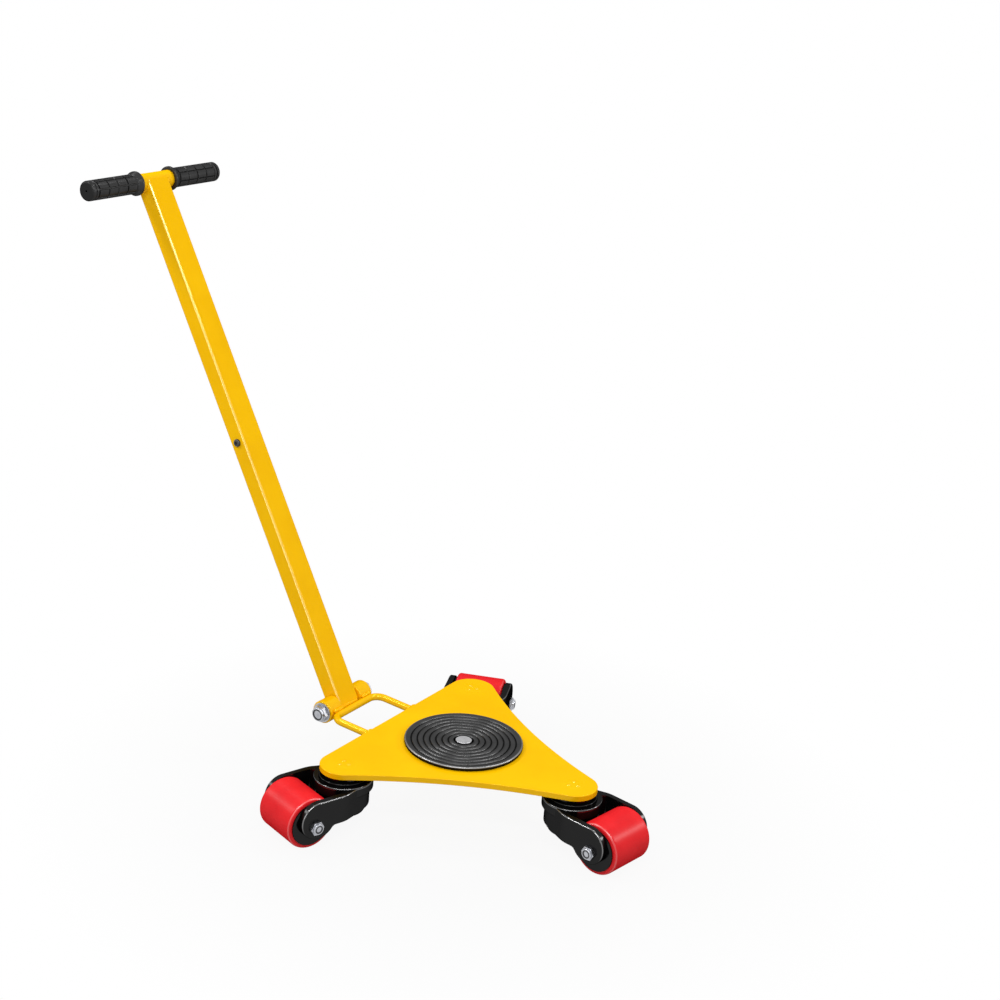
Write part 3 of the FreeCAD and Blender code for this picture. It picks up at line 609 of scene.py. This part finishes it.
# %% Patterns
def noise(place, scale, detail=3.0):
    """Cloudy noise from 0 to 1 at a number of clouds per metre."""
    return place.node("TexNoise", None, {"Vector": place, "Scale": scale, "Detail": detail})


def between(wire, low, high):
    """A wire's stretch from low to high, opened out to run from 0 to 1."""
    return wire.node("MapRange", {"clamp": True}, {"Value": wire, "From Min": low, "From Max": high})


def band(wire, low, high):
    """1 in the middle of a stretch from low to high, falling evenly to 0 over a quarter of it at each end."""
    soft = (high - low) / 4
    return between(wire, low, low + soft) * (1 - between(wire, high - soft, high))


def edge_line(wire, edge, line):
    """A band that lies between two depths inside an edge, the deeper one first."""
    return band(wire, edge - line[0], edge - line[1])


def from_to(share, first, last):
    """A value that runs from first to last as a share runs from 0 to 1."""
    return first + (last - first) * share


def blend(share, first, second):
    """Two colours mixed by a share."""
    return share.node("Mix", {"data_type": "RGBA"}, {0: share, 6: (*first, 1), 7: (*second, 1)}, out=2)


print("made patterns: noise, between, band, edge_line, from_to, blend")


# %% Places
def height_of(place):
    """The height above the frame's origin."""
    return place.node("SeparateXYZ", None, {0: place}, out="Z")


def from_axis(place, centre, axis):
    """The length of what is left of place - centre once its part along X, Y or Z is taken out."""
    offset = place.node("VectorMath", {"operation": "SUBTRACT"}, {0: place, 1: centre})
    across = place.node("VectorMath", {"operation": "MULTIPLY"}, {0: offset, 1: 1 - axis})
    return place.node("VectorMath", {"operation": "LENGTH"}, {0: across}, out="Value")


def from_plane(place, centre, normal):
    """The size of (place - centre) . normal: the distance from a plane, on either side of it."""
    offset = place.node("VectorMath", {"operation": "SUBTRACT"}, {0: place, 1: centre})
    along = place.node("VectorMath", {"operation": "DOT_PRODUCT"}, {0: offset, 1: normal}, out="Value")
    return place.node("Math", {"operation": "ABSOLUTE"}, {0: along})


print("made places: height_of, from_axis, from_plane")

# %% [markdown]
# Paint, rubber and polyurethane all shine as a thin clear film over their colour. One shader could carry
# both, but its shine would grow wherever a face turns away from the camera. So a dull body and a mirror
# film are two shaders, mixed by a small share of gloss that can rise along a rounded edge. Bare metal needs
# no film.

# %% A body and its film
film_white = (1.0, 1.0, 1.0, 1)
film_edge = (0.0, 0.0, 0.0, 1)
finishes = {}


def finish(key, name, recipe, gloss=None, film_tint=film_white, metallic=0.0):
    """A material from a recipe for colour, roughness, bump height and depth, under a share of tinted gloss.
    The share is a number, or a function that works it out from the place."""
    material = bpy.data.materials.new(name)
    material.use_nodes = True
    tree = material.node_tree
    tree.nodes.clear()
    place = Wire(tree).node("TexCoord", out="Object")
    colour, roughness, height, depth = recipe(place)
    bump = place.node("Bump", None, {"Strength": 1.0, "Distance": depth, "Height": height})
    body = {"Base Color": colour, "Roughness": roughness, "Normal": bump, "Metallic": metallic}
    if gloss is None:
        surface = place.node("BsdfPrincipled", None, body)
    else:
        film = {"Base Color": film_tint, "Roughness": roughness, "Normal": bump, "Metallic": 1.0,
                "Specular Tint": film_edge}
        share = gloss(place) if callable(gloss) else gloss
        dull = place.node("BsdfPrincipled", None, body | {"Specular IOR Level": 0.0})
        shiny = place.node("BsdfPrincipled", None, film)
        surface = place.node("MixShader", None, {0: share, 1: dull, 2: shiny})
    place.node("OutputMaterial", None, {"Surface": surface})
    finishes[key] = material
    print("finish:", name, "nodes:", len(tree.nodes))


# %% [markdown]
# The steel frame is sprayed in thick yellow enamel. Wet enamel pulls into a fine ripple before it dries,
# its colour clouds a little with the film's thickness, and handling leaves duller patches. A flat colour
# would look like plastic, so noise drives all three. One recipe serves four finishes, which differ in
# gloss: the plain sheet, the tube with a bright line down each corner, the rods where the coat lies thick,
# and the drops of weld.

# %% Yellow enamel
enamel_deep = (0.93, 0.50, 0.001)
enamel_bright = (0.97, 0.54, 0.0015)
enamel_ripple = 0.012 * mm
film_yellow = (1.0, 0.78, 0.24, 1)
film_cream = (1.0, 0.82, 0.36, 1)
film_orange = (1.0, 0.66, 0.10, 1)
tube_corner = 2.5 * mm
tube_corner_soft = 1.75 * mm
tube_gloss_share, corner_gloss_share = 0.014, 0.32


def yellow_enamel(place):
    """Two close yellows in slow clouds, roughness from handling marks, and a fine ripple of the film."""
    clouds = between(noise(place, scale=14.0), low=0.35, high=0.65)
    rubbed = between(noise(place, scale=60.0, detail=5.0), low=0.45, high=0.75)
    ripple = noise(place, scale=420.0, detail=1.0) + 0.35 * noise(place, scale=1500.0, detail=2.0)
    roughness = from_to(rubbed, first=0.14, last=0.22)
    return blend(clouds, enamel_deep, enamel_bright), roughness, ripple, enamel_ripple


def tube_gloss(place):
    """A share of gloss that rises along the four rounded corners of the handle's tube, where a point is near
    both a wide side and a narrow one."""
    deep = between(from_plane(place, hinge, handle_face),
                   tube_half_depth - tube_corner, tube_half_depth - tube_corner_soft)
    wide = between(from_plane(place, hinge, leftward),
                   tube_half_width - tube_corner, tube_half_width - tube_corner_soft)
    return tube_gloss_share + corner_gloss_share * deep * wide


finish("yellow_paint", "yellow enamel", yellow_enamel, gloss=0.040, film_tint=film_yellow)
finish("tube enamel", "yellow tube enamel", yellow_enamel, gloss=tube_gloss, film_tint=film_cream)
finish("thick enamel", "thick yellow enamel", yellow_enamel, gloss=0.12, film_tint=film_orange)
finish("wet enamel", "wet yellow enamel", yellow_enamel, gloss=0.14, film_tint=film_yellow)

# %% [markdown]
# Forks, bearing races and the turntable's disc are black: satin paint over a cast skin. What shows a fork's
# shape is the thin bright line along its rounded edges, where the paint is thin and the room shines off it.
# A line could be drawn by hand, but the edges have known places: the hub's rim and the arms' level tops each
# have a height, and the edges of the arms' round ends lie at one distance from the wheel's middle plane.

# %% Black paint
black_deep = (0.002, 0.002, 0.0021)
black_dusty = (0.004, 0.004, 0.0042)
black_grain = 0.010 * mm
arm_drop = 1.3 * mm
arm_line = (1.6 * mm, 0.2 * mm)
end_line = (1.9 * mm, 0.2 * mm)
hub_line = (1.1 * mm, 0.1 * mm)
level_reach, end_reach = 62 * mm, 67 * mm
end_fade = 8 * mm
black_gloss_share = 0.020
arm_gloss_share, end_gloss_share, hub_gloss_share = 0.14, 0.17, 0.12
fork_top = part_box("fork_left")[1][2]
arm_top = fork_top - arm_drop


def black_satin(place):
    """Near black over cast skin: a grainy bump, with duller spots where dust settled in the paint."""
    dust = between(noise(place, scale=90.0, detail=4.0), low=0.5, high=0.8)
    grain = noise(place, scale=700.0, detail=2.0) + 0.8 * noise(place, scale=210.0, detail=2.0)
    return blend(dust, black_deep, black_dusty), from_to(dust, first=0.16, last=0.24), grain, black_grain


def fork_gloss(name):
    """A share of gloss for one fork, which rises along the rounded edges of its hub, of the level tops of its
    arms and of their round ends."""
    wheel_middle, axle = wheel_middles[name], axles[name]
    trailing = np.cross(axle, upward)
    arm_outer = np.abs(about_axis("fork_" + name, wheel_middle, axle)[1]).max()
    axle_height = wheel_middle[2]

    def share(place):
        height = height_of(place)
        at_end = between(from_plane(place, pins[name], trailing), level_reach, end_reach)
        upper = between(height, axle_height - end_fade, axle_height + end_fade)
        arm_edge = edge_line(height, arm_top, arm_line) * (1 - at_end)
        end_edge = edge_line(from_plane(place, wheel_middle, axle), arm_outer, end_line) * at_end * upper
        hub_edge = edge_line(height, fork_top, hub_line)
        gloss = black_gloss_share + arm_gloss_share * arm_edge + end_gloss_share * end_edge
        return gloss + hub_gloss_share * hub_edge
    return share


finish("black_paint", "black satin paint", black_satin, gloss=black_gloss_share)
for name in casters:
    finish("fork_" + name, "black fork paint " + name, black_satin, gloss=fork_gloss(name))

# %% [markdown]
# The tyres are cast polyurethane, smooth and slightly glossy with fine marks from rolling. Each has a faint
# line of shine round both of its edges. A narrow ring could be added there, but the line is only a change
# in the shine. Rolling turns a tyre about its axle, so a line at one distance from its middle plane stays
# put.

# %% Red polyurethane
red_bright = (0.82, 0.016, 0.021)
red_deep = (0.74, 0.012, 0.017)
red_ripple = 0.012 * mm
tyre_line = (2.5 * mm, 0.5 * mm)
tread_gloss_share, tyre_edge_gloss_share = 0.019, 0.08


def red_tread(place):
    """A full red with faint darker clouds, rolling scuffs in the gloss, and a shallow cast ripple."""
    clouds = between(noise(place, scale=30.0), low=0.4, high=0.7)
    scuffs = between(noise(place, scale=160.0, detail=6.0), low=0.52, high=0.78)
    ripple = noise(place, scale=180.0, detail=2.0) + 0.3 * noise(place, scale=1100.0, detail=2.0)
    return blend(clouds, red_bright, red_deep), from_to(scuffs, first=0.33, last=0.43), ripple, red_ripple


def tyre_gloss(name):
    """A share of gloss for one tyre, which rises in a line round each rounded edge."""
    wheel_middle, axle = wheel_middles[name], axles[name]
    half_width = np.abs(about_axis("tyre_" + name, wheel_middle, axle)[1]).max()

    def share(place):
        edge = edge_line(from_plane(place, wheel_middle, axle), half_width, tyre_line)
        return tread_gloss_share + tyre_edge_gloss_share * edge
    return share


for name in casters:
    finish("tyre_" + name, "red polyurethane " + name, red_tread, gloss=tyre_gloss(name))

# %% [markdown]
# The pad and the grips are black rubber, greyer with dust and wear on what stands proud, which hands and
# loads polish. The relief alone would shade the grooves, but not as dark as on real rubber. So painted shade
# takes the colour down there as well, by height on the pad and by distance from the bar on the grips.

# %% Rubber of the pad
rubber_black = (0.002, 0.002, 0.002)
pad_grey = (0.016, 0.016, 0.0166)
pad_grain = 0.006 * mm
ridge_low_share, ridge_high_share = 0.95, 0.6
rim_low_share, rim_high_share = 1.1, 0.7
rim_in_share, rim_out_share = 1.5, 0.5
clean_share = 0.6
pad_gloss_share, ridge_gloss_share, rim_gloss_share = 0.010, 0.042, 0.20


def ridges(place):
    """1 on the pad's ridges and 0 on the floors of its grooves, from the height."""
    return between(height_of(place), -ridge_low_share * groove_depth, -ridge_high_share * groove_depth)


def pad_skin(place):
    """Dark rubber: dusty on the ridges, painted shade in the grooves and down the side wall, a fine grain."""
    dust = between(noise(place, scale=45.0, detail=6.0), low=0.42, high=0.75)
    # Painted shade: grooves and the side wall below the ridges' tops take the black, ridges the dusty grey.
    dust_and_painted_shade = ridges(place) * from_to(dust, clean_share, 1.0)
    grain = noise(place, scale=1600.0, detail=3.0) + 0.5 * noise(place, scale=320.0, detail=2.0)
    return blend(dust_and_painted_shade, rubber_black, pad_grey), from_to(dust, first=0.27, last=0.37), grain, pad_grain


def pad_gloss(place):
    """A share of gloss that rises on the ridges and over the rounded rim, and not on the wall below."""
    radius = from_axis(place, pad_middle, upward)
    rim = between(radius, pad_radius - rim_in_share * rim_round, pad_radius - rim_out_share * rim_round)
    rim = rim * between(height_of(place), -rim_low_share * rim_round, -rim_high_share * rim_round)
    return pad_gloss_share + ridge_gloss_share * ridges(place) + rim_gloss_share * rim


finish("pad_rubber", "pad rubber", pad_skin, gloss=pad_gloss)

# %% Rubber of the grips
grip_grey = (0.028, 0.028, 0.0285)
grip_grain = 0.020 * mm
block_low_share, block_high_share = 0.7, 0.1


def grip_skin(place):
    """Soft black rubber: greyer with rubbed wear and smoother on the blocks, and painted shade in the grooves."""
    radius = from_axis(place, bar_middle, leftward)
    block_top = between(radius, block_radius - block_low_share * block_depth,
                        block_radius - block_high_share * block_depth)
    rubbed = between(noise(place, scale=70.0, detail=4.0), low=0.4, high=0.7)
    # Painted shade: the grooves get the black, and only the block tops get the worn grey.
    wear_and_painted_shade = block_top * from_to(rubbed, clean_share, 1.0)
    grain = noise(place, scale=1300.0, detail=3.0)
    return blend(wear_and_painted_shade, rubber_black, grip_grey), from_to(wear_and_painted_shade, first=0.36, last=0.24), grain, grip_grain


finish("grip_rubber", "grip rubber", grip_skin, gloss=0.022)

# %% [markdown]
# The bare metals differ by how they were made: plated nuts are bright with a light grain, turned pins and
# ball bearings show fine scratches, blackened screws are dark and oily, bronze is warm, and the cast core
# is dull. Each could have nodes of its own, but one recipe with a few numbers for each is enough. The slide
# washer's plain plastic uses it too, without the metal.

# %% Metals and the slide washer
def metal(light, dark, smooth, dull, grain_depth):
    """A recipe for a metal: two tones in clouds, scratched roughness and a fine tooled grain."""
    def recipe(place):
        clouds = between(noise(place, scale=120.0, detail=4.0), low=0.35, high=0.7)
        grain = noise(place, scale=900.0, detail=4.0)
        return blend(clouds, light, dark), from_to(clouds, smooth, dull), grain, grain_depth
    return recipe


zinc = metal((0.50, 0.51, 0.54), (0.38, 0.39, 0.42), smooth=0.24, dull=0.36, grain_depth=0.02 * mm)
turned = metal((0.46, 0.46, 0.47), (0.34, 0.34, 0.35), smooth=0.20, dull=0.40, grain_depth=0.04 * mm)
blackened = metal((0.06, 0.06, 0.063), (0.035, 0.035, 0.037), smooth=0.30, dull=0.48, grain_depth=0.05 * mm)
bronze = metal((0.60, 0.42, 0.18), (0.46, 0.30, 0.12), smooth=0.25, dull=0.45, grain_depth=0.04 * mm)
cast = metal((0.10, 0.10, 0.105), (0.06, 0.06, 0.062), smooth=0.45, dull=0.65, grain_depth=0.2 * mm)
plastic = metal((0.75, 0.74, 0.70), (0.66, 0.65, 0.61), smooth=0.40, dull=0.55, grain_depth=0.03 * mm)
finish("zinc_steel", "zinc plate", zinc, metallic=1.0)
finish("bright_steel", "turned steel", turned, metallic=1.0)
finish("black_steel", "blackened steel", blackened, metallic=0.6)
finish("bush_bronze", "bronze", bronze, metallic=1.0)
finish("cast_core", "cast core", cast, metallic=0.5)
finish("slide_plastic", "slide plastic", plastic)

# %% [markdown]
# Each solid names a slot in the frame's record, and most take the finish of that slot. The tow loop and its
# barrels, the tube, the forks and the tyres have finishes of their own. Faces could be painted one by one,
# but here only a piece's material changes, and a solid's mesh stays as it came.

# %% Dress every piece
node_slots = {piece["node"]: piece["material_slot"] for piece in frame["record"]["subparts"]}
node_looks = node_slots | {"tow_loop": "thick enamel", "hinge_barrels": "thick enamel"}
node_looks |= {"handle_lower_tube": "tube enamel", "handle_upper_tube": "tube enamel"}
node_looks |= {node: node for node in node_slots if node in finishes}
for node, shown in frame["nodes"].items():
    shown.data.materials.clear()
    shown.data.materials.append(finishes[node_looks[node]])
for piece, look in made_pieces:
    piece.data.materials.append(finishes[look])
print("dressed:", len(node_slots), "nodes and", len(made_pieces), "new pieces")

# %% [markdown]
# The studio is a wide pale floor and a white room. More light would make them white, but would also wash
# out the skate. So rays that come straight from the camera, or from a reflection, see plain white, while
# the light that falls on the skate stays at an ordinary level. Near the skate, the floor mixes a little of
# its lit surface into that white, so that it keeps a soft shadow.

# %% The floor
floor_height = min(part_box("tyre_" + name)[0][2] for name in casters)
floor_reach = 30.0
shadow_share = 0.075
shadow_near, shadow_far = 0.25, 0.60
seen_white = (1.0, 1.0, 1.0, 1)
pale_floor = (0.45, 0.45, 0.45, 1)


def seen_directly(tree):
    """1 for rays from the camera, a mirror or glass, and 0 for the light that falls on things."""
    rays = ("Is Camera Ray", "Is Glossy Ray", "Is Transmission Ray")
    camera_ray, glossy_ray, glass_ray = (Wire(tree).node("LightPath", out=ray) for ray in rays)
    return between(camera_ray + glossy_ray + glass_ray, 0.0, 1.0)


floor_material = bpy.data.materials.new("studio floor")
floor_material.use_nodes = True
floor_tree = floor_material.node_tree
floor_tree.nodes.clear()
seen = seen_directly(floor_tree)
lit = seen.node("BsdfDiffuse", None, {"Color": pale_floor})
white = seen.node("Emission", None, {"Color": seen_white, "Strength": 1.0})
floor_place = seen.node("TexCoord", out="Object")
from_middle = seen.node("VectorMath", {"operation": "LENGTH"}, {0: floor_place}, out="Value")
shadow = shadow_share * (1 - between(from_middle, shadow_near, shadow_far))
floor_mix = seen.node("MixShader", None, {0: seen * (1 - shadow), 1: lit, 2: white})
seen.node("OutputMaterial", None, {"Surface": floor_mix})
floor_mesh = bpy.data.meshes.new("studio floor")
floor_corners = [(-floor_reach, -floor_reach, floor_height), (floor_reach, -floor_reach, floor_height),
                 (floor_reach, floor_reach, floor_height), (-floor_reach, floor_reach, floor_height)]
floor_mesh.from_pydata(floor_corners, [], [(0, 1, 2, 3)])
floor_mesh.materials.append(floor_material)
studio_floor = bpy.data.objects.new("studio floor", floor_mesh)
bpy.context.scene.collection.objects.link(studio_floor)
print("floor at", round(floor_height / mm, 2), "mm")

# %% The room
room_light = 0.20
world = bpy.data.worlds.new("studio room")
bpy.context.scene.world = world
world.use_nodes = True
world.node_tree.nodes.clear()
room_seen = seen_directly(world.node_tree)
room_strength = from_to(room_seen, room_light, 1.0)
room = room_seen.node("Background", None, {"Color": seen_white, "Strength": room_strength})
room_seen.node("OutputWorld", None, {"Surface": room})
print("room lights the skate at", room_light, "of the white that is seen")

# %% [markdown]
# Eight soft lamps light the skate as in a catalogue. A long strip above the camera draws lines along the
# forks' edges and the pad's rim. Two stand high behind the skate, and draw streaks on the pad's ridges. Two
# on each side draw bands across the tyres and lines along the rods, and a tall strip parallel to the handle
# draws one down its corners. One large lamp would light as well, but several narrow ones draw the lines
# that show the shapes.

# %% Lamps
look_at = np.array((0.08, 0.0, 0.15))
strip_along = (-0.857, -0.515, 0)


def soft_lamp(name, place, size, energy, target=look_at, tall=upward, height=None):
    """A square or tall area lamp at a place, turned towards a target with its height along a direction."""
    lamp = bpy.data.lights.new(name, "AREA")
    lamp.shape = "RECTANGLE"
    lamp.size = size
    lamp.size_y = height or size
    lamp.energy = energy
    holder = bpy.data.objects.new(name, lamp)
    back = unit(np.asarray(place) - target)
    side = unit(np.cross(tall, back))
    over = np.cross(back, side)
    turn = np.eye(4)
    turn[:3] = np.stack((side, over, back, place), -1)
    holder.matrix_world = Matrix(turn)
    bpy.context.scene.collection.objects.link(holder)
    print(name, "of", energy, "W")


soft_lamp("top strip lamp", (-0.74, 1.33, 1.95), size=0.35, energy=27.0, tall=strip_along, height=1.6)
soft_lamp("right high lamp", (-0.18, -1.13, 2.36), size=0.35, energy=10.0)
soft_lamp("back high lamp", (1.5, -0.45, 2.15), size=0.35, energy=10.0)
soft_lamp("right side lamp", (-1.9, -1.57, 1.2), size=0.45, energy=15.0)
soft_lamp("right front lamp", (-1.50, -0.78, 1.85), size=0.35, energy=7.0)
soft_lamp("left side lamp", (2.3, 0.9, 1.15), size=0.45, energy=8.0)
soft_lamp("left high lamp", (1.40, 1.10, 1.80), size=0.35, energy=13.0)
soft_lamp("handle strip lamp", (-0.434, 2.632, 0.817), size=0.3, energy=9.0,
          target=box_middle("handle_lower_tube"), tall=handle_along, height=1.7)

# %% [markdown]
# The camera stands where the photograph was taken from. Its three directions and its place were found by
# matching the deck's pins, the turntable, the wheels and the handle's edges to the picture. They are kept
# as a turn and a place, because aiming at a point would lose the slight roll of the picture.

# %% Camera
camera_place = np.array((-1.2019, 1.9089, 1.1542))
camera_right = np.array((-0.8353, -0.5449, 0.0736))
camera_up = np.array((0.2430, -0.2457, 0.9384))
camera_back = np.array((-0.4932, 0.8017, 0.3376))
camera_lens = 67.27
camera_sensor = 36.0
camera = bpy.data.cameras.new("camera")
camera.lens = camera_lens
camera.sensor_width = camera_sensor
camera_holder = bpy.data.objects.new("camera", camera)
camera_turn = np.eye(4)
camera_turn[:3] = np.stack((camera_right, camera_up, camera_back, camera_place), -1)
camera_holder.matrix_world = Matrix(camera_turn)
bpy.context.scene.collection.objects.link(camera_holder)
bpy.context.scene.camera = camera_holder
bpy.context.scene.view_settings.view_transform = "Standard"
print("camera", np.round(camera_place, 3))
